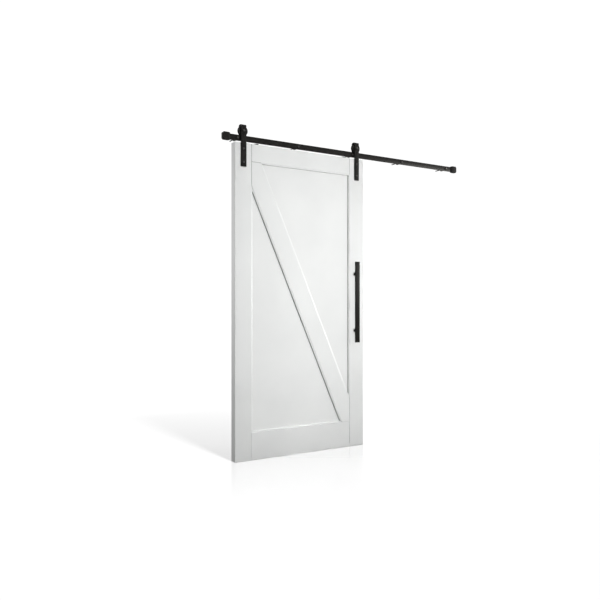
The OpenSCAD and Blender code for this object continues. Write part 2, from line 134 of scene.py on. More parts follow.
def stacked(depth, left, right, low, high):
    """Rectangles one behind another. The four corners stand at each depth where left, right, low and high
    say for that depth, so the solid is four curves of depth closed by a flat front and back."""
    left, right, low, high, y = np.broadcast_arrays(left, right, low, high, door_front + depth)
    corners = [(left, y, low), (right, y, low), (right, y, high), (left, y, high)]
    return np.stack([np.stack(c, -1) for c in corners], 1)


def piece(name, shells, finish, body, slot, *stood_for, sharp=20):
    """One mesh from closed shells. A shell is a grid of points, rows by columns, whose columns run round
    and close. If its last row repeats its first the rows close too, as in a ring; otherwise a flat face
    closes each end. A shell whose faces enclose a negative volume is turned outwards."""
    places, faces, count = [], [], 0
    for grid in shells:
        ring = np.allclose(grid[0], grid[-1])
        grid = grid[:-1] if ring else grid
        rows, cols = grid.shape[:2]
        r = np.arange(rows if ring else rows - 1)[:, None]
        c = np.arange(cols)[None, :]
        near, far = r * cols, (r + 1) % rows * cols
        quads = np.stack([near + c, near + (c + 1) % cols, far + (c + 1) % cols, far + c], -1)
        quads = quads.reshape(-1, 4)
        p = grid.reshape(-1, 3)
        a, b, d, e = (p[quads[:, i]] for i in range(4))
        volume = np.einsum("ij,ij->", a, np.cross(b, d)) + np.einsum("ij,ij->", a, np.cross(d, e))
        ends = [] if ring else [np.arange(cols)[::-1], (rows - 1) * cols + np.arange(cols)]
        for end in ends:
            q = p[end]
            volume += np.einsum("ij,ij->", np.cross(q[1:-1], q[2:]), np.broadcast_to(q[0], q[2:].shape))
        turn = -1 if volume < 0 else 1
        faces += (quads[:, ::turn] + count).tolist() + [(end[::turn] + count).tolist() for end in ends]
        places.append(p)
        count += len(p)
    mesh = bpy.data.meshes.new(name)
    mesh.from_pydata(np.concatenate(places), [], faces)
    tidy = bmesh.new()
    tidy.from_mesh(mesh)
    bmesh.ops.remove_doubles(tidy, verts=tidy.verts, dist=1e-7)
    tidy.to_mesh(mesh)
    tidy.free()
    mesh.polygons.foreach_set("use_smooth", np.ones(len(mesh.polygons), bool))
    mesh.set_sharp_from_angle(angle=math.radians(sharp))
    mesh.materials.append(finish)
    made = bpy.data.objects.new(name, mesh)
    bpy.context.scene.collection.objects.link(made)
    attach(made, body)
    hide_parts(*stood_for)
    return made


def new_finish(name, **settings):
    """A material with its even values set on the shader itself."""
    finish = bpy.data.materials.new(name)
    finish.use_nodes = True
    shader = finish.node_tree.nodes["Principled BSDF"]
    for socket, value in settings.items():
        shader.inputs[socket.replace("_", " ")].default_value = value
    return finish, finish.node_tree, shader


def spread_over(tree, value, low, high, to_low, to_high):
    """Carries value from the range low to high over to the range to_low to to_high, and holds it there."""
    node = tree.nodes.new("ShaderNodeMapRange")
    ends = (("From Min", low), ("From Max", high), ("To Min", to_low), ("To Max", to_high))
    for socket, end in ends:
        node.inputs[socket].default_value = end
    tree.links.new(value, node.inputs["Value"])
    return node.outputs["Result"]


def mottled(tree, scale, low, high, stretch=(1, 1, 1), turn=0.0, detail=3.0):
    """Cloudy noise over the piece, squeezed along its axes by stretch and turned about the depth. Most of
    it lies from 0.3 to 0.7, which is spread from low to high."""
    place = tree.nodes.new("ShaderNodeTexCoord")
    fit = tree.nodes.new("ShaderNodeMapping")
    fit.inputs["Scale"].default_value = stretch
    fit.inputs["Rotation"].default_value = (0, turn, 0)
    cloud = tree.nodes.new("ShaderNodeTexNoise")
    cloud.inputs["Scale"].default_value = scale
    cloud.inputs["Detail"].default_value = detail
    tree.links.new(place.outputs["Object"], fit.inputs["Vector"])
    tree.links.new(fit.outputs["Vector"], cloud.inputs["Vector"])
    return spread_over(tree, cloud.outputs["Fac"], 0.3, 0.7, low, high)


def blended(tree, amount, first, second):
    """Colour that goes from first to second with amount."""
    mix = tree.nodes.new("ShaderNodeMix")
    mix.data_type = "RGBA"
    tree.links.new(amount, mix.inputs["Factor"])
    mix.inputs["A"].default_value = (*first, 1)
    mix.inputs["B"].default_value = (*second, 1)
    return mix.outputs["Result"]


def raised(tree, shader, height, distance, strength=0.5):
    """Lets height lift the surface of the shader by up to distance."""
    bump = tree.nodes.new("ShaderNodeBump")
    bump.inputs["Distance"].default_value = distance
    bump.inputs["Strength"].default_value = strength
    tree.links.new(height, bump.inputs["Height"])
    tree.links.new(bump.outputs["Normal"], shader.inputs["Normal"])


def corners(tree, reach, shut, clear):
    """Mask of the painted shade, where a surface is closed in: 1 where no more than the share shut of its
    outlook over the reach is free, falling to 0 where the share clear of it is. The floor closes in the foot
    of the door too, so it is multiplied by a mask that rises from 0 to 1 over the upper half of the reach
    above the foot."""
    outlook = tree.nodes.new("ShaderNodeAmbientOcclusion")
    outlook.samples = 8
    outlook.inputs["Distance"].default_value = reach
    place = tree.nodes.new("ShaderNodeTexCoord")
    parts = tree.nodes.new("ShaderNodeSeparateXYZ")
    tree.links.new(place.outputs["Object"], parts.inputs[0])
    closed = spread_over(tree, outlook.outputs["AO"], shut, clear, 1, 0)
    above = spread_over(tree, parts.outputs["Z"], door_bottom + reach / 2, door_bottom + reach, 0, 1)
    product = tree.nodes.new("ShaderNodeMath")
    product.operation = "MULTIPLY"
    tree.links.new(closed, product.inputs[0])
    tree.links.new(above, product.inputs[1])
    return product.outputs[0]


# Reach and thresholds of the painted corner shade.
SHADE_REACH, SHADE_SHUT, SHADE_CLEAR = 25 * MM, 0.62, 0.85


def white_paint(name, stretch, turn=0.0, shade_grey=(0.22, 0.23, 0.21)):
    """Sprayed satin white: the grain under it shows as faint long ridges, the coat is a little thicker in
    places and its gloss varies softly. Painted shade greys it where it is closed in, down in the corners and
    the V joints."""
    finish, tree, shader = new_finish(name, Specular_IOR_Level=0.35)
    tone = mottled(tree, 3.5, 0, 1, detail=4)
    coat = blended(tree, tone, (0.80, 0.81, 0.802), (0.838, 0.848, 0.838))
    # Painted shade: where the surface is closed in, the coat is mixed towards a dark grey.
    if shade_grey:
        shaded_coat = tree.nodes.new("ShaderNodeMix")
        shaded_coat.data_type = "RGBA"
        tree.links.new(corners(tree, SHADE_REACH, SHADE_SHUT, SHADE_CLEAR), shaded_coat.inputs["Factor"])
        tree.links.new(coat, shaded_coat.inputs["A"])
        shaded_coat.inputs["B"].default_value = (*shade_grey, 1)
        coat = shaded_coat.outputs["Result"]
    tree.links.new(coat, shader.inputs["Base Color"])
    tree.links.new(mottled(tree, 14, 0.38, 0.5), shader.inputs["Roughness"])
    raised(tree, shader, mottled(tree, 9, 0, 1, stretch, turn, detail=6), 0.3 * MM, 0.35)
    return finish


GRAIN_UP, GRAIN_ACROSS, GRAIN_OF_PANEL = (14, 14, 0.6), (0.6, 14, 14), (2, 2, 1.2)

piece(
    "left_stile_painted",
    [stacked(
        member_depth,
        door_left + eased(member_depth),
        door_left + stile_face + moulded(member_depth),
        door_bottom + eased(member_depth),
        door_top - eased(member_depth),
    )],
    white_paint("white_paint_left_stile", GRAIN_UP), "door", "white_paint", "left_stile",
)

# ---- Right stile ----
# The left stile's mirror image, cut from the same stock. The pull's two posts are screwed
# through it from the back, and the second strap is bolted through its upper end.

piece(
    "right_stile_painted",
    [stacked(
        member_depth,
        door_right - stile_face - moulded(member_depth),
        door_right - eased(member_depth),
        door_bottom + eased(member_depth),
        door_top - eased(member_depth),
    )],
    white_paint("white_paint_right_stile", GRAIN_UP), "door", "white_paint", "right_stile",
)

# ---- Top and bottom rail ----
# Cross members between the stiles. Their ends are scribed over the stiles' moulding, and a
# V is left in front where the two faces meet. The bottom rail is the deeper one.

top_face = door_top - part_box("top_rail")[0].z - SPLAY_WIDE
bottom_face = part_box("bottom_rail")[1].z - door_bottom - SPLAY_WIDE
rail_left = door_left + stile_face + scribed(member_depth)
rail_right = door_right - stile_face - scribed(member_depth)
piece(
    "top_rail_painted",
    [stacked(
        member_depth, rail_left, rail_right,
        door_top - top_face - moulded(member_depth), door_top - eased(member_depth),
    )],
    white_paint("white_paint_top_rail", GRAIN_ACROSS), "door", "white_paint", "top_rail",
)
piece(
    "bottom_rail_painted",
    [stacked(
        member_depth, rail_left, rail_right,
        door_bottom + eased(member_depth), door_bottom + bottom_face + moulded(member_depth),
    )],
    white_paint("white_paint_bottom_rail", GRAIN_ACROSS, shade_grey=None),
    "door", "white_paint", "bottom_rail",
)

# ---- Panel ----
# One flat board held in the grooves of the frame, set back from the faces of the frame on
# both sides. Only what shows between the mouldings is made, with a hair of it let in.

LET_IN = 0.5 * MM
panel_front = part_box("panel")[0].y - door_front
panel_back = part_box("panel")[1].y - door_front
seen_edge = SPLAY_WIDE - LET_IN
piece(
    "panel_painted",
    [stacked(
        np.array([panel_front, panel_back]),
        door_left + stile_face + seen_edge, door_right - stile_face - seen_edge,
        door_bottom + bottom_face + seen_edge, door_top - top_face - seen_edge,
    )],
    white_paint("white_paint_panel", GRAIN_OF_PANEL, shade_grey=None), "door", "white_paint", "panel",
)

# ---- Brace ----
# One board from the upper left to the lower right corner, glued on the panel. Both long edges
# have the frame's moulding and both ends are scribed over the frame.

face_w = door_right - door_left - 2 * stile_face
face_h = door_top - door_bottom - top_face - bottom_face
face_mid = np.array([(door_left + door_right) / 2, (door_top - top_face + door_bottom + bottom_face) / 2])
BRACE_FACE = 131 * MM


def clipped_band(depth, half_width):
    """A band of the given half width about the diagonal of the frame's opening, cut to the opening as it
    stands at each depth. Its six corners are the two corners of the opening that the diagonal runs
    through, and the places where each long edge of the band crosses a side of the opening."""
    normal = np.array([face_h, face_w]) / math.hypot(face_h, face_w)
    side = scribed(depth)
    half_x, half_z = face_w / 2 - side, face_h / 2 - side

    def z_where(x, offset):
        return (offset - x * normal[0]) / normal[1]

    def x_where(z, offset):
        return (offset - z * normal[1]) / normal[0]

    upper_left = [
        (-half_x, half_z),
        (x_where(half_z, half_width), half_z),
        (half_x, z_where(half_x, half_width)),
    ]
    lower_right = [
        (half_x, -half_z),
        (x_where(-half_z, -half_width), -half_z),
        (-half_x, z_where(-half_x, -half_width)),
    ]
    y = door_front + depth
    around = upper_left + lower_right
    return np.stack([np.stack([face_mid[0] + x, y, face_mid[1] + z], -1) for x, z in around], 1)


brace_depth = np.array([0, V_DEEP, V_DEEP + SPLAY_DROP, panel_front])
piece(
    "brace_painted",
    [clipped_band(brace_depth, BRACE_FACE / 2 + moulded(brace_depth))],
    white_paint("white_paint_brace", GRAIN_UP, turn=math.atan2(face_w, face_h)),
    "door", "white_paint", "brace",
)

# ---- Rail dowels ----
# Beech pins, glued into blind holes across each joint of rail and stile. They are hidden in the
# finished door, so the frame's plain turned pins are kept and only given their wood.


def bare_beech(name):
    """Pale planed beech with fine darker streaks along the pin."""
    finish, tree, shader = new_finish(name, Roughness=0.6)
    streak = mottled(tree, 60, 0, 1, stretch=(0.15, 1, 1), detail=5)
    wood = blended(tree, streak, (0.48, 0.31, 0.17), (0.66, 0.47, 0.29))
    tree.links.new(wood, shader.inputs["Base Color"])
    raised(tree, shader, streak, 0.1 * MM)
    return finish


def carried_over(node, finish):
    """Gives a node of the frame its finish, in place of whatever it came with."""
    mesh = frame["nodes"][node].data
    mesh.materials.clear()
    mesh.materials.append(finish)


carried_over("rail_dowels", bare_beech("beech"))

# ---- Track bar ----
# A flat steel bar, 40 by 6, stood on edge, powder coated a fine matt black like the rest of the
# hardware. Washers and standoffs cover its five bolt holes, so the bar is made without them.

TRACK_EASE = 0.8 * MM


def black_coat(name, gloss=0.1, dull=0.39):
    """Powder coat: near black and slightly warm, with a fine even orange peel and a soft sheen."""
    finish, tree, shader = new_finish(name, Specular_IOR_Level=gloss)
    tone = mottled(tree, 25, 0, 1)
    coat = blended(tree, tone, (0.0085, 0.008, 0.007), (0.013, 0.012, 0.0105))
    tree.links.new(coat, shader.inputs["Base Color"])
    tree.links.new(mottled(tree, 60, dull - 0.05, dull + 0.05), shader.inputs["Roughness"])
    raised(tree, shader, mottled(tree, 1400, 0, 1), 0.08 * MM)
    return finish


def soft_rectangle(wide, deep, r):
    """Outline of a rectangle with quarter rounds of radius r, as an array of two columns."""
    a = np.linspace(0, math.pi / 2, 4)
    arc = r * np.stack([np.cos(a), np.sin(a)], -1)
    corner = np.array([wide / 2 - r, deep / 2 - r])
    first = corner + arc
    second = (corner + arc[::-1]) * (-1, 1)
    return np.concatenate([first, second, -first, -second])


def carried(outline, path, wide, deep, r):
    """A flat bar: the outline is carried along the path, its first column along the direction wide and its
    second along the direction deep, given for each point of the path. Near both ends the outline shrinks
    along a quarter round of radius r, so that the ends are eased like the edges."""
    depth, inset = rounded(r)
    first, last = path[1] - path[0], path[-2] - path[-1]
    lead = path[0] + depth[:, None] * first / np.linalg.norm(first)
    tail = path[-1] + depth[:, None] * last / np.linalg.norm(last)
    stations = np.concatenate([lead, path[1:-1], tail[::-1]])
    start, end = np.repeat(deep[:1], len(lead), 0), np.repeat(deep[-1:], len(tail), 0)
    deep = np.concatenate([start, deep[1:-1], end])
    inset = np.concatenate([inset, np.zeros(len(path) - 2), inset[::-1]])
    u, v = (outline[None, :, i] - np.sign(outline[None, :, i]) * inset[:, None] for i in (0, 1))
    return stations[:, None] + u[..., None] * np.asarray(wide) + v[..., None] * deep[:, None]


def straight_bar(node, along, wide, r):
    """Shell of a flat bar that fills the box of a node, with its edges and ends eased to radius r. The
    numbers along and wide are the axes of its length and of its outline's first column."""
    low, high = (np.array(c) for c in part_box(node))
    deep = 3 - along - wide
    middle, size = (low + high) / 2, high - low
    path = np.stack([middle, middle])
    path[0, along], path[1, along] = low[along], high[along]
    axes = np.eye(3)
    return carried(
        soft_rectangle(size[wide], size[deep], r), path, axes[wide], np.repeat(axes[deep][None], 2, 0), r
    )


piece(
    "track_bar_coated", [straight_bar("track_bar", 0, 2, TRACK_EASE)],
    black_coat("black_coat_track"), "track", "black_coat", "track_bar",
)

# ---- Standoffs and washers ----
# Turned steel tubes keep the track clear of the wall, and a thin washer sits under the head
# of each bolt. The outer corners of both are broken.

WALL_BOLTS, STANDOFF_EASE, WASHER_EASE = 5, 1 * MM, 0.4 * MM
standoffs_low, standoffs_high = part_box("standoffs")
standoff_r = (standoffs_high.z - standoffs_low.z) / 2
bolt_xs = np.linspace(standoffs_low.x + standoff_r, standoffs_high.x - standoff_r, WALL_BOLTS)
track_front, track_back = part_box("track_bar")[0].y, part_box("track_bar")[1].y
Y_AXIS, Z_AXIS = ((1, 0, 0), (0, 0, 1), (0, 1, 0)), ((1, 0, 0), (0, 1, 0), (0, 0, 1))


def turned(profile, centre, axes=Y_AXIS, sides=64, flats=None, thread=None):
    """A solid turned from a profile of (radius, distance along the axis). Each point of the profile goes
    round a circle. With flats the radius is cut to a hexagon of that width, which leaves the turned
    chamfer on its corners. thread = (from, to, pitch, depth) cuts a helical V between two distances: the
    radius falls by depth times a triangle wave of distance over pitch minus the angle over a full turn."""
    profile = np.array(profile, float)
    angle = np.linspace(0, 2 * math.pi, sides, endpoint=False)[None]
    radius, along = profile[:, :1] + 0 * angle, profile[:, 1:] + 0 * angle
    if flats:
        off = angle % (math.pi / 3) - math.pi / 6
        radius = np.minimum(radius, flats / 2 / np.cos(off))
    if thread:
        start, stop, pitch, depth = thread
        phase = (along / pitch - angle / (2 * math.pi)) % 1
        cut = (1 - np.abs(2 * phase - 1)) * ((along > start) & (along < stop))
        radius = np.maximum(radius - depth * cut, 0)
    u, v, w = (np.array(a, float) for a in axes)
    return (
        np.asarray(centre, float)
        + (radius * np.cos(angle))[..., None] * u
        + (radius * np.sin(angle))[..., None] * v
        + along[..., None] * w
    )


def tube_profile(bore, outer, near, far, r):
    """Closed profile of a tube with its outer corners eased to radius r."""
    depth, inset = rounded(r, 3)
    return (
        [(bore, near)] + list(zip(outer - inset, near + depth))
        + list(zip((outer - inset)[::-1], (far - depth)[::-1])) + [(bore, far), (bore, near)]
    )


BOLT_BORE = 4.2 * MM
piece(
    "standoffs_coated",
    [turned(tube_profile(BOLT_BORE, standoff_r, track_back, 0, STANDOFF_EASE), (x, 0, 0))
     for x in bolt_xs],
    black_coat("black_coat_standoffs"), "track", "black_coat", "standoffs",
)

washer_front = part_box("lag_washers")[0].y
washer_r = (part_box("lag_washers")[1].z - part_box("lag_washers")[0].z) / 2
piece(
    "lag_washers_coated",
    [turned(tube_profile(BOLT_BORE, washer_r, washer_front, track_front, WASHER_EASE), (x, 0, 0))
     for x in bolt_xs],
    black_coat("black_coat_washers"), "track", "black_coat", "lag_washers",
)

# ---- Lag bolts ----
# Forged hexagon heads with a turned chamfer, a plain shank through track and standoff, and a
# rolled coarse thread with a cone point that bites into the wall.


def hex_head_profile(flats, near, far, washer_face=0.4 * MM):
    """Profile of a hexagon head: a flat front of 0.92 of the flats, a turned chamfer of 30 degrees out to
    the corners, the sides, and a round washer face of 0.97 of the flats at the seat."""
    corner, front_r, seat_r = flats / 2 / math.cos(math.pi / 6), flats / 2 * 0.92, flats / 2 * 0.97
    drop = (corner - front_r) * math.tan(math.radians(30))
    sides = [(corner, near + drop), (corner, far - washer_face)]
    return [(front_r, near), *sides, (seat_r, far - washer_face), (seat_r, far)]


def blackened_steel(name):
    """Oil-blackened steel: darker and lighter patches of the oxide, with an uneven gloss."""
    finish, tree, shader = new_finish(name, Metallic=1.0)
    patch = mottled(tree, 110, 0, 1, detail=5)
    steel = blended(tree, patch, (0.05, 0.048, 0.046), (0.085, 0.083, 0.08))
    tree.links.new(steel, shader.inputs["Base Color"])
    tree.links.new(mottled(tree, 160, 0.24, 0.34), shader.inputs["Roughness"])
    raised(tree, shader, mottled(tree, 900, 0, 1), 0.04 * MM)
    return finish


lag_low, lag_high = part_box("lag_bolts")
LAG_FLATS, LAG_SHANK, LAG_THREAD = 13 * MM, 4 * MM, 3.8 * MM
LAG_PITCH, LAG_CUT, LAG_RUNOUT, LAG_TIP = 3.6 * MM, 0.8 * MM, 1 * MM, 0.5 * MM
THREAD_ROWS, POINT_ROWS = 150, 20
point_from = lag_high.y - 2 * LAG_THREAD
thread_y = np.linspace(LAG_TIP, point_from, THREAD_ROWS)
point_r = np.linspace(LAG_THREAD, LAG_TIP, POINT_ROWS)[1:]
point_y = np.linspace(point_from, lag_high.y, POINT_ROWS)[1:]
lag_profile = (
    hex_head_profile(LAG_FLATS, lag_low.y, washer_front)
    + [(LAG_SHANK, washer_front), (LAG_SHANK, 0), (LAG_THREAD, 0)]
    + list(zip(np.full(THREAD_ROWS, LAG_THREAD), thread_y)) + list(zip(point_r, point_y))
)
lag_thread = (LAG_RUNOUT, lag_high.y - LAG_RUNOUT, LAG_PITCH, LAG_CUT)
piece(
    "lag_bolts_coated",
    [turned(lag_profile, (x, 0, 0), sides=36, flats=LAG_FLATS, thread=lag_thread) for x in bolt_xs],
    blackened_steel("blackened_lag_bolts"), "track", "black_coat", "lag_bolts", sharp=35,
)

# ---- End stops and bumpers ----
# Each stop is a block slotted over the end of the track, with bevelled outer corners, and is
# clamped by a screw from above and below. A moulded rubber pad on it meets the wheel.

SLOT_FIT, STOP_BEVEL, STOP_EASE, BUMPER_EASE = 0.2 * MM, 9 * MM, 0.8 * MM, 1.5 * MM


def sleeve(node, inner_low, inner_high, outer_end, bevel, r):
    """A block round a bar, as a ring of rectangles along the bar. Outside, the height falls at the outer
    end by the bevel, and both ends are eased to radius r; then the rows turn back along the slot."""
    low, high = (np.array(c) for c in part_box(node))
    depth, inset = rounded(r, 3)
    length = high[0] - low[0]
    run = np.concatenate([depth, [max(bevel, depth[-1] + 1e-6)], (length - depth)[::-1], [length, 0, 0]])
    draw = np.concatenate([inset, [0], inset[::-1], [0, 0, inset[0]]])
    drop = np.where(run < bevel, bevel - run, 0)
    inside = np.zeros(len(run), bool)
    inside[-3:-1] = True
    edges = []
    for axis, fall in ((1, 0 * drop), (2, drop)):
        edges.append((
            np.where(inside, inner_low[axis], low[axis] + draw + fall),
            np.where(inside, inner_high[axis], high[axis] - draw - fall),
        ))
    x = low[0] + run if outer_end < 0 else high[0] - run
    (y0, y1), (z0, z1) = edges
    return np.stack([np.stack(c, -1) for c in ((x, y0, z0), (x, y1, z0), (x, y1, z1), (x, y0, z1))], 1)


bar_low, bar_high = (np.array(c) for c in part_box("track_bar"))
slot_low, slot_high = bar_low - SLOT_FIT, bar_high + SLOT_FIT


def rubber(name):
    """Moulded rubber: black, dull, with a dusty bloom in patches."""
    finish, tree, shader = new_finish(name, Specular_IOR_Level=0.25)
    bloom = mottled(tree, 90, 0, 1, detail=5)
    pad = blended(tree, bloom, (0.012, 0.012, 0.012), (0.022, 0.022, 0.021))
    tree.links.new(pad, shader.inputs["Base Color"])
    tree.links.new(mottled(tree, 150, 0.7, 0.85), shader.inputs["Roughness"])
    raised(tree, shader, mottled(tree, 700, 0, 1), 0.1 * MM)
    return finish


for side, outer_end in (("left", -1), ("right", 1)):
    piece(
        f"{side}_stop_coated",
        [sleeve(f"{side}_stop", slot_low, slot_high, outer_end, STOP_BEVEL, STOP_EASE)],
        black_coat(f"black_coat_{side}_stop"), "track", "black_coat", f"{side}_stop",
    )
    piece(
        f"{side}_bumper_rubber",
        [sleeve(f"{side}_bumper", slot_low, slot_high, outer_end, 0, BUMPER_EASE)],
        rubber(f"rubber_{side}_bumper"), "track", "rubber", f"{side}_bumper",
    )

# ---- Clamp screws ----
# Button screws through the top and the underside of each stop, their points on the edges of
# the track. The heads are domed.

screw_low, screw_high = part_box("stop_screws")
stop_top, stop_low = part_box("left_stop")[1].z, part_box("left_stop")[0].z
SCREW_R, BUTTON_R, CROWN_FLAT_R = 2.5 * MM, 4.5 * MM, 0.02 * MM


def button_profile(seat, crown, point):
    """Shank from its point to the seat, then a head that is a quarter ellipse from rim to crown."""
    a = np.linspace(0, math.pi / 2, 7)
    dome = zip(BUTTON_R * np.cos(a) + CROWN_FLAT_R, seat + (crown - seat) * np.sin(a))
    return [(SCREW_R, point), (SCREW_R, seat), *dome]


clamp_shells = []
for x in (screw_low.x + BUTTON_R, screw_high.x - BUTTON_R):
    centre = (x, (track_front + track_back) / 2, 0)
    for seat, crown, point in (
        (stop_top, screw_high.z, bar_high[2]),
        (stop_low, screw_low.z, bar_low[2]),
    ):
        clamp_shells.append(turned(button_profile(seat, crown, point), centre, Z_AXIS, 40))
piece(
    "stop_screws_coated", clamp_shells,
    black_coat("black_coat_screws"), "track", "black_coat", "stop_screws", sharp=40,
)

# ---- Hanger straps ----
# Each is one flat steel bar, 40 by 6, folded twice over its wheel: a long leg down the front
# of the door and a short one behind the wheel, with the axle through both.

STRAP_T, FOLD_R, STRAP_EASE, LEG_BELOW_AXLE = 6 * MM, 6 * MM, 0.9 * MM, 24 * MM
axle_z = (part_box("left_wheel")[0].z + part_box("left_wheel")[1].z) / 2
rear_leg_end = axle_z - LEG_BELOW_AXLE


def folded_strap(node):
    """The strap's path lies midway through its thickness: up the front leg, a quarter circle back, level
    over the wheel, a quarter circle down and down the rear leg. The outline is carried along it."""
    low, high = (np.array(c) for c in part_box(node))
    r = FOLD_R + STRAP_T / 2
    front, back, top = low[1] + STRAP_T / 2, high[1] - STRAP_T / 2, high[2] - STRAP_T / 2
    a = np.linspace(0, math.pi / 2, 10)
    first = np.stack([front + r * (1 - np.cos(a)), top - r * (1 - np.sin(a))], -1)
    second = first[::-1] * (-1, 1) + (front + back, 0)
    line = np.concatenate([[(front, low[2])], first, second, [(back, rear_leg_end)]])
    out = np.concatenate([[0], -a, a[::-1], [0]])
    outward = np.stack([0 * out, -np.cos(out), np.abs(np.sin(out))], -1)
    outward[len(a) + 1:, 1] *= -1
    path = np.column_stack([np.full(len(line), (low[0] + high[0]) / 2), line])
    outline = soft_rectangle(high[0] - low[0], STRAP_T, STRAP_EASE)
    return carried(outline, path, (1, 0, 0), outward, STRAP_EASE)


for side in ("left", "right"):
    piece(
        f"{side}_strap_coated", [folded_strap(f"{side}_strap")],
        black_coat(f"black_coat_{side}_strap"), "door", "black_coat", f"{side}_strap",
    )

# ---- Strap bolts and nuts ----
# Two hexagon bolts hold each strap to its stile. They go through the stile into flanged
# barrel nuts let in from the back.

strap_xs = [sum(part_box(f"{side}_strap")[i].x for i in (0, 1)) / 2 for side in ("left", "right")]
strap_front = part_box("left_strap")[0].y
bolt_low, bolt_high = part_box("strap_bolts")
STRAP_FLATS, STRAP_SHANK, SHANK_CHAMFER = 13 * MM, 4 * MM, 0.6 * MM
strap_bolt_zs = (bolt_low.z + STRAP_FLATS / 2, bolt_high.z - STRAP_FLATS / 2)
strap_bolt_profile = hex_head_profile(STRAP_FLATS, bolt_low.y, strap_front) + [
    (STRAP_SHANK, strap_front),
    (STRAP_SHANK, bolt_high.y - SHANK_CHAMFER),
    (STRAP_SHANK - SHANK_CHAMFER, bolt_high.y),
]
piece(
    "strap_bolts_coated",
    [turned(strap_bolt_profile, (x, 0, z), sides=48, flats=STRAP_FLATS)
     for x in strap_xs for z in strap_bolt_zs],
    blackened_steel("blackened_strap_bolts"), "door", "black_coat", "strap_bolts",
)

nut_low, nut_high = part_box("strap_nuts")
FLANGE_R, FLANGE_EASE, BARREL_R, THREAD_PLAY = 9 * MM, 1.2 * MM, 5 * MM, 0.05 * MM
strap_nut_bore = STRAP_SHANK + THREAD_PLAY
dome_depth, dome_inset = rounded(FLANGE_EASE)
nut_profile = (
    [(strap_nut_bore, nut_low.y), (BARREL_R, nut_low.y), (BARREL_R, door_back), (FLANGE_R, door_back)]
    + list(zip((FLANGE_R - dome_inset)[::-1], (nut_high.y - dome_depth)[::-1]))
    + [(strap_nut_bore, nut_high.y), (strap_nut_bore, nut_low.y)]
)
piece(
    "strap_nuts_coated", [turned(nut_profile, (x, 0, z)) for x in strap_xs for z in strap_bolt_zs],
    black_coat("black_coat_strap_nuts"), "door", "black_coat", "strap_nuts",
)

# ---- Wheels ----
# Turned steel wheels with a square groove that straddles the track, a thinner web and a hub
# that holds the bearing. The flanges have their corners broken.

GROOVE_R, GROOVE_HALF, BEARING_SEAT_R = 29 * MM, 4 * MM, 13.03 * MM
HUB_STEP, WHEEL_WALL, WALL_SLOPE = 2 * MM, 4 * MM, 1.5 * MM
RIM_EASE, LIP_BEVEL = 1.2 * MM, 1 * MM


def wheel_profile(rim, half):
    """Closed profile of a wheel of radius rim: out along the hub, down its slope to the web, which is 4/9 of
    the half width, up the slope of the flange, round its quarter-round corner and over the bevelled lip
    into the groove. The same points with the sign of the width changed lead back to the hub."""
    web = half * 4 / 9
    hub, flange = BEARING_SEAT_R + WHEEL_WALL, GROOVE_R - WHEEL_WALL
    depth, inset = rounded(RIM_EASE)
    side = np.array(
        [(BEARING_SEAT_R, web + HUB_STEP), (hub, web + HUB_STEP), (hub + WALL_SLOPE, web)]
        + [(flange - WALL_SLOPE, web), (flange, half)] + list(zip(rim - inset, half - depth))
        + [(rim, GROOVE_HALF + LIP_BEVEL), (rim - LIP_BEVEL, GROOVE_HALF + LIP_BEVEL / 2)]
        + [(GROOVE_R, GROOVE_HALF)]
    )
    return np.concatenate([side, side[::-1] * (1, -1), side[:1]])


for side in ("left", "right"):
    low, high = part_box(f"{side}_wheel")
    centre = (low + high) / 2
    profile = wheel_profile((high.z - low.z) / 2, (high.y - low.y) / 2)
    piece(
        f"{side}_wheel_coated", [turned(profile, centre, sides=96)],
        black_coat(f"black_coat_{side}_wheel", gloss=0.2, dull=0.28),
        f"{side}_wheel", "black_coat", f"{side}_wheel",
    )

# ---- Bearings and sleeves ----
# A shop ball bearing is pressed into each wheel, and two steel tubes on the axle keep it in
# the middle between the legs of the strap. All are ground bright.


def bright_steel(name):
    """Ground steel: bright, with fine rings of tool marks and slightly uneven gloss."""
    finish, tree, shader = new_finish(name, Metallic=1.0)
    marks = mottled(tree, 120, 0, 1, stretch=(1, 12, 1), detail=5)
    steel = blended(tree, marks, (0.50, 0.50, 0.52), (0.64, 0.64, 0.65))
    tree.links.new(steel, shader.inputs["Base Color"])
    tree.links.new(mottled(tree, 200, 0.22, 0.34), shader.inputs["Roughness"])
    raised(tree, shader, marks, 0.02 * MM)
    return finish


for part in (
    "left_bearing_ring", "right_bearing_ring", "left_bearing_balls", "right_bearing_balls",
    "bearing_inner_rings", "axle_sleeves",
):
    carried_over(part, bright_steel(f"bright_{part}"))

# ---- Axle bolts and nuts ----
# A 10 mm hexagon bolt from the front through both legs of the strap, drawn up by a plain
# hexagon nut behind.

AXLE_FLATS, AXLE_R, AXLE_CHAMFER = 16.4 * MM, 5 * MM, 0.8 * MM
axle_low, axle_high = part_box("axle_bolts")
rear_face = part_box("left_strap")[1].y
axle_profile = hex_head_profile(AXLE_FLATS, axle_low.y, strap_front) + [
    (AXLE_R, strap_front),
    (AXLE_R, axle_high.y - AXLE_CHAMFER),
    (AXLE_R - AXLE_CHAMFER, axle_high.y),
]
piece(
    "axle_bolts_coated",
    [turned(axle_profile, (x, 0, axle_z), sides=48, flats=AXLE_FLATS) for x in strap_xs],
    blackened_steel("blackened_axle_bolts"), "door", "black_coat", "axle_bolts",
)

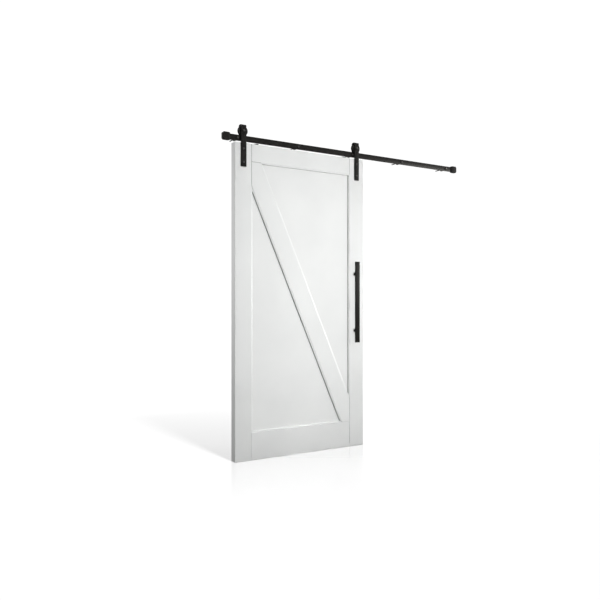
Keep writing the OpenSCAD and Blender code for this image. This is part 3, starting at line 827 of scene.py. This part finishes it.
nut_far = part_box("axle_nuts")[1].y
nut_corner = AXLE_FLATS / 2 / math.cos(math.pi / 6)
AXLE_BORE = AXLE_R + THREAD_PLAY
NUT_CHAMFER_IN, NUT_CHAMFER_ALONG, BORE_CHAMFER = 1.2 * MM, 0.7 * MM, 0.6 * MM
hex_nut = [
    (AXLE_BORE, rear_face),
    (nut_corner - NUT_CHAMFER_IN, rear_face),
    (nut_corner, rear_face + NUT_CHAMFER_ALONG),
    (nut_corner, nut_far - NUT_CHAMFER_ALONG),
    (nut_corner - NUT_CHAMFER_IN, nut_far),
    (AXLE_BORE + BORE_CHAMFER, nut_far),
    (AXLE_BORE, nut_far - BORE_CHAMFER),
    (AXLE_BORE, rear_face),
]
piece(
    "axle_nuts_coated", [turned(hex_nut, (x, 0, axle_z), sides=48, flats=AXLE_FLATS) for x in strap_xs],
    black_coat("black_coat_axle_nuts"), "door", "black_coat", "axle_nuts",
)

# ---- Anti-jump discs ----
# Two turned discs screwed to the top of the door, just under the track, so that the wheels
# can't climb off it. Each is held by one countersunk wood screw.

disc_low, disc_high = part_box("anti_jump_discs")
disc_r = (disc_high.y - disc_low.y) / 2
disc_y = (disc_high.y + disc_low.y) / 2
disc_xs = (disc_low.x + disc_r, disc_high.x - disc_r)
DISC_BORE, SINK_R, DISC_BEVEL, DISC_EASE = 2.7 * MM, 5.2 * MM, 0.5 * MM, 1 * MM
edge_depth, edge_inset = rounded(DISC_EASE)
disc_profile = (
    [(DISC_BORE, disc_low.z), (disc_r - DISC_BEVEL, disc_low.z), (disc_r, disc_low.z + DISC_BEVEL)]
    + list(zip((disc_r - edge_inset)[::-1], (disc_high.z - edge_depth)[::-1]))
    + [(SINK_R, disc_high.z), (DISC_BORE, disc_high.z - (SINK_R - DISC_BORE)), (DISC_BORE, disc_low.z)]
)
piece(
    "anti_jump_discs_coated", [turned(disc_profile, (x, disc_y, 0), Z_AXIS) for x in disc_xs],
    black_coat("black_coat_discs"), "door", "black_coat", "anti_jump_discs",
)
carried_over("anti_jump_screws", black_coat("black_coat_disc_screws"))

# ---- Pull ----
# A flat steel bar, 40 by 8, stood off the right stile on two turned posts. The posts are
# tapped, and a cap screw from the back of the door holds each.

PULL_EASE, POST_EASE = 1 * MM, 0.8 * MM
piece(
    "pull_bar_coated", [straight_bar("pull_bar", 2, 0, PULL_EASE)],
    black_coat("black_coat_pull"), "door", "black_coat", "pull_bar",
)

post_low, post_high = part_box("pull_posts")
post_x, post_r = (post_low.x + post_high.x) / 2, (post_high.x - post_low.x) / 2
POST_BORE, BORE_LEN = 4.05 * MM, 17 * MM
foot_depth, foot_inset = rounded(POST_EASE)
post_profile = (
    [(post_r, post_low.y)]
    + list(zip((post_r - foot_inset)[::-1], (post_high.y - foot_depth)[::-1]))
    + [(POST_BORE, post_high.y), (POST_BORE, post_high.y - BORE_LEN)]
)
piece(
    "pull_posts_coated",
    [turned(post_profile, (post_x, 0, z)) for z in (post_low.z + post_r, post_high.z - post_r)],
    black_coat("black_coat_posts"), "door", "black_coat", "pull_posts",
)
carried_over("pull_screws", black_coat("black_coat_pull_screws"))

# ---- Floor ----
# A white studio floor a hair under the door, polished enough to mirror its foot. It greys only
# where the sun's shadow falls behind the door, and both fade out along the camera's line of sight.

FLOOR_HALF, FLOOR_GAP = 60.0, 2 * MM
FLOOR_GLOW, FLOOR_SHADE, FLOOR_GLOSS, FLOOR_ROUGH, FLOOR_BOUNCE = 0.648, 0.12, 0.37, 0.12, 0.03
SHADOW_FROM, SHADOW_TO = 4.6, 7.0
MIRROR_FROM, MIRROR_TO = 3.4, 4.9
WHITE_OUT = 1.06
CAMERA_TURN, CAMERA_FROM_FOOT = math.radians(-32.07), Vector((-1.9258, -3.8856, 1.0656))
camera_at = Vector((door_left, door_front, door_bottom)) + CAMERA_FROM_FOOT


def shader_node(tree, kind, **settings):
    """A new shader node of the tree with the values of its sockets, where one number makes a grey."""
    node = tree.nodes.new(f"ShaderNode{kind}")
    for socket, value in settings.items():
        node.inputs[socket].default_value = (value,) * 3 + (1,) if socket == "Color" else value
    return node


def between(tree, amount, first, second):
    """Goes from the first shader to the second with amount."""
    mix = shader_node(tree, "MixShader")
    for socket, end in zip(mix.inputs, (amount, first, second)):
        tree.links.new(end, socket)
    return mix.outputs[0]


def distance_from_camera(tree):
    """How far a point of the floor lies from the camera along its line of sight: the point is turned back
    by the camera's own turn, which lays that line along Y, and the camera's place is taken off."""
    place = tree.nodes.new("ShaderNodeTexCoord")
    turn_back = tree.nodes.new("ShaderNodeMapping")
    turn_back.inputs["Rotation"].default_value = (0, 0, -CAMERA_TURN)
    turn_back.inputs["Location"].default_value = -(Matrix.Rotation(-CAMERA_TURN, 3, "Z") @ camera_at)
    parts = tree.nodes.new("ShaderNodeSeparateXYZ")
    tree.links.new(place.outputs["Object"], turn_back.inputs["Vector"])
    tree.links.new(turn_back.outputs["Vector"], parts.inputs[0])
    return parts.outputs["Y"]


def white_floor(name):
    """A glow with a dull coat that takes the sun's shadow, which goes over to plain white with distance,
    under a polish that comes in with distance. To all but the camera it is a dark dull floor."""
    finish = bpy.data.materials.new(name)
    finish.use_nodes = True
    tree = finish.node_tree
    tree.nodes.clear()
    far = distance_from_camera(tree)
    lit = shader_node(tree, "AddShader")
    tree.links.new(shader_node(tree, "Emission", Color=1, Strength=FLOOR_GLOW).outputs[0], lit.inputs[0])
    tree.links.new(shader_node(tree, "BsdfDiffuse", Color=FLOOR_SHADE).outputs[0], lit.inputs[1])
    plain = shader_node(tree, "Emission", Color=1, Strength=WHITE_OUT).outputs[0]
    polish = shader_node(tree, "BsdfGlossy", Color=1, Roughness=FLOOR_ROUGH).outputs[0]
    dark = shader_node(tree, "BsdfDiffuse", Color=FLOOR_BOUNCE).outputs[0]
    faded = between(tree, spread_over(tree, far, SHADOW_FROM, SHADOW_TO, 0, 1), lit.outputs[0], plain)
    mirror = spread_over(tree, far, MIRROR_FROM, MIRROR_TO, 0, FLOOR_GLOSS)
    ray = tree.nodes.new("ShaderNodeLightPath")
    seen = between(tree, ray.outputs["Is Camera Ray"], dark, between(tree, mirror, faded, polish))
    out = tree.nodes.new("ShaderNodeOutputMaterial")
    tree.links.new(seen, out.inputs["Surface"])
    return finish


floor_z = door_bottom - FLOOR_GAP
floor_corners = [(x * FLOOR_HALF, y * FLOOR_HALF, floor_z) for x, y in ((-1, -1), (1, -1), (1, 1), (-1, 1))]
floor_mesh = bpy.data.meshes.new("floor")
floor_mesh.from_pydata(floor_corners, [], [(0, 1, 2, 3)])
floor_mesh.materials.append(white_floor("pale_floor"))
floor = bpy.data.objects.new("floor", floor_mesh)
bpy.context.scene.collection.objects.link(floor)
floor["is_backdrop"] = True

# ---- Lights ----
# A white room, soft boxes in front, at the left and behind, two cards that only show as sheen on
# the frame's mouldings and on the metal, and a sun that only throws the shadow on the floor.
# The pull throws no shadow on the stile behind it.

scene = bpy.context.scene
scene.view_settings.view_transform = "Standard"
ROOM_SEEN, ROOM_FILL = 1.05, 0.24
room = bpy.data.worlds.new("studio")
scene.world = room
room.use_nodes = True
background = room.node_tree.nodes["Background"]
background.inputs["Color"].default_value = (1, 1, 1, 1)
ray = room.node_tree.nodes.new("ShaderNodeLightPath")
filled = spread_over(room.node_tree, ray.outputs["Is Diffuse Ray"], 0, 1, ROOM_SEEN, ROOM_FILL)
room.node_tree.links.new(filled, background.inputs["Strength"])

FRAME_PIECES = ("stile_painted", "rail_painted", "brace_painted")
on_door, on_floor, on_frame, on_hardware, all_but_pull = (
    bpy.data.collections.new(name)
    for name in ("lit_on_door", "lit_on_floor", "lit_on_frame", "lit_on_hardware", "casts_shadow")
)
on_floor.objects.link(floor)
for made in scene.objects:
    if made.type == "MESH" and made is not floor:
        on_door.objects.link(made)
        (on_frame if made.name.endswith(FRAME_PIECES) else on_hardware).objects.link(made)
        if not made.name.startswith("pull_bar"):
            all_but_pull.objects.link(made)


def softbox(name, at, aim, size, power, spread, pieces):
    """A square lamp that faces aim, fades over spread degrees and lights only the pieces."""
    lamp = bpy.data.lights.new(name, "AREA")
    lamp.size, lamp.energy, lamp.spread = size, power, math.radians(spread)
    made = bpy.data.objects.new(name, lamp)
    scene.collection.objects.link(made)
    made.location = at
    made.rotation_euler = (aim - at).to_track_quat("-Z", "Y").to_euler()
    made.light_linking.receiver_collection = pieces
    return made


middle = Vector(((door_left + door_right) / 2, door_front, (door_top + door_bottom) / 2))
for name, at, aim_z, size, power, spread in (
    ("main_high", (0.7, -4.0, 0.9), 1.05, 1.0, 12.4, 70),
    ("main_low", (1.0, -4.0, 0.9), -0.75, 1.0, 18.3, 70),
    ("left_rear", (-3.0, 1.0, 1.0), -0.1, 1.2, 12.2, 100),
    ("behind_high", (3.0, 3.2, 1.2), 0.7, 1.4, 22, 90),
    ("behind_low", (3.0, 3.2, 0.4), -0.5, 1.4, 22, 90),
):
    box = softbox(name, middle + Vector(at), middle + Vector((0, 0, aim_z)), size, power, spread, on_door)
    box.visible_glossy = False
    box.light_linking.blocker_collection = all_but_pull
CARD_SIZE, CARD_SPREAD = 1.6, 180
for name, at, power, pieces, colour in (
    ("edge_card", (3.7, -1.45, 0.3), 120, on_frame, (1, 1, 1)),
    ("track_card", (4.6, -2.6, 0.8), 150, on_hardware, (1, 0.965, 0.93)),
):
    card = softbox(name, middle + Vector(at), middle, CARD_SIZE, power, CARD_SPREAD, pieces)
    card.data.color = colour
    card.visible_diffuse = False

SUN_POWER, SUN_SPREAD, SUN_RAY = 12.4, math.radians(8), Vector((-0.033, 1.0, -1.0))
sun_lamp = bpy.data.lights.new("sun", "SUN")
sun_lamp.energy, sun_lamp.angle = SUN_POWER, SUN_SPREAD
sun = bpy.data.objects.new("sun", sun_lamp)
scene.collection.objects.link(sun)
sun.rotation_euler = SUN_RAY.to_track_quat("-Z", "Y").to_euler()
sun.light_linking.receiver_collection = on_floor

# ---- Camera ----
# A normal lens, level at half the door's height, about four metres in front and two to the left
# of the door. It is turned to the door by 32 degrees, and a small shift sets how high that lies.

lens = bpy.data.cameras.new("camera")
lens.sensor_width, lens.lens, lens.shift_y = 36, 38.98, 0.0038
lens.clip_end = 200
camera = bpy.data.objects.new("camera", lens)
scene.collection.objects.link(camera)
camera.location = camera_at
camera.rotation_euler = (math.radians(90), 0, CAMERA_TURN)
scene.camera = camera

# ---- Bounds of the finished model ----

low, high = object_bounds()
